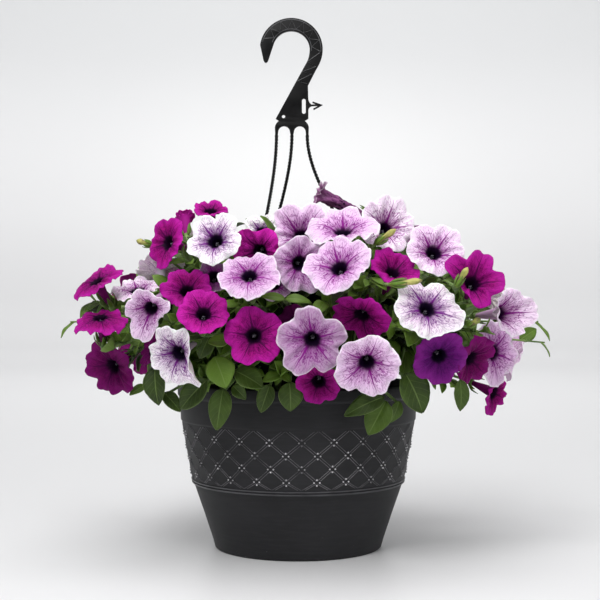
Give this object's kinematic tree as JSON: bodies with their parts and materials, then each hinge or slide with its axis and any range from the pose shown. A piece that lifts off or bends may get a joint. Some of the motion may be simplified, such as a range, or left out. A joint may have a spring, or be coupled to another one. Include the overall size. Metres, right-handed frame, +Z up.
{
  "type": "hanging basket of petunias",
  "caption": "Hanging basket: a tapered pot with a diamond-lattice band, three strands up to a hook, and a mound of petunia flowers, leaves and buds.",
  "frame": {"origin": "centre of the underside of the pot", "axes": "+Z up along the pot's axis towards the hook, -Y to the front of the picture, +X to its right"},
  "size_m": [0.5366, 0.4894, 0.6141],
  "materials": {
    "pot_plastic": "moulded satin-matte charcoal black with a fine grain",
    "hanger_plastic": "moulded black, slight sheen",
    "potting_mix": "dark, crumbly and damp",
    "foliage": "matte green with paler veins and fine hairs",
    "petal_magenta": "velvety magenta, dark at the throat",
    "petal_lavender": "velvety lavender with purple veins and a dark throat",
    "petal_white": "white with a net of purple veins and a dark throat",
    "petal_violet": "velvety deep violet"
  },
  "bodies": {
    "root": {"pot": "pot_plastic", "potting_mix": "potting_mix", "hook": "hanger_plastic", "strand_left": "hanger_plastic", "strand_middle": "hanger_plastic", "strand_right": "hanger_plastic", "growth": "foliage", "flower_01": "petal_magenta", "flower_02": "petal_magenta", "flower_03": "petal_magenta", "flower_04": "petal_magenta", "flower_05": "petal_white", "flower_06": "petal_magenta", "flower_07": "petal_magenta", "flower_08": "petal_white", "flower_09": "petal_lavender", "flower_10": "petal_lavender", "flower_11": "petal_magenta", "flower_12": "petal_magenta", "flower_13": "petal_white", "flower_14": "petal_magenta", "flower_15": "petal_magenta", "flower_16": "petal_lavender", "flower_17": "petal_magenta", "flower_18": "petal_lavender", "flower_19": "petal_lavender", "flower_20": "petal_lavender", "flower_21": "petal_lavender", "flower_22": "petal_lavender", "flower_23": "petal_lavender", "flower_24": "petal_lavender", "flower_25": "petal_magenta", "flower_26": "petal_magenta", "flower_27": "petal_white", "flower_28": "petal_violet", "flower_29": "petal_magenta", "flower_30": "petal_magenta", "flower_31": "petal_lavender", "flower_32": "petal_lavender", "flower_33": "petal_magenta", "flower_34": "petal_lavender", "flower_35": "petal_lavender", "flower_36": "petal_magenta", "flower_37": "petal_white", "flower_38": "petal_lavender", "flower_39": "petal_magenta", "flower_40": "petal_lavender", "flower_41": "petal_lavender", "flower_42": "petal_magenta", "flower_43": "petal_white", "flower_44": "petal_white", "flower_45": "petal_magenta", "flower_46": "petal_lavender", "flower_47": "petal_lavender", "flower_48": "petal_magenta", "flower_49": "petal_lavender", "flower_50": "petal_lavender", "flower_51": "petal_magenta", "flower_52": "petal_white", "flower_53": "petal_magenta"}
  },
  "joints": []
}
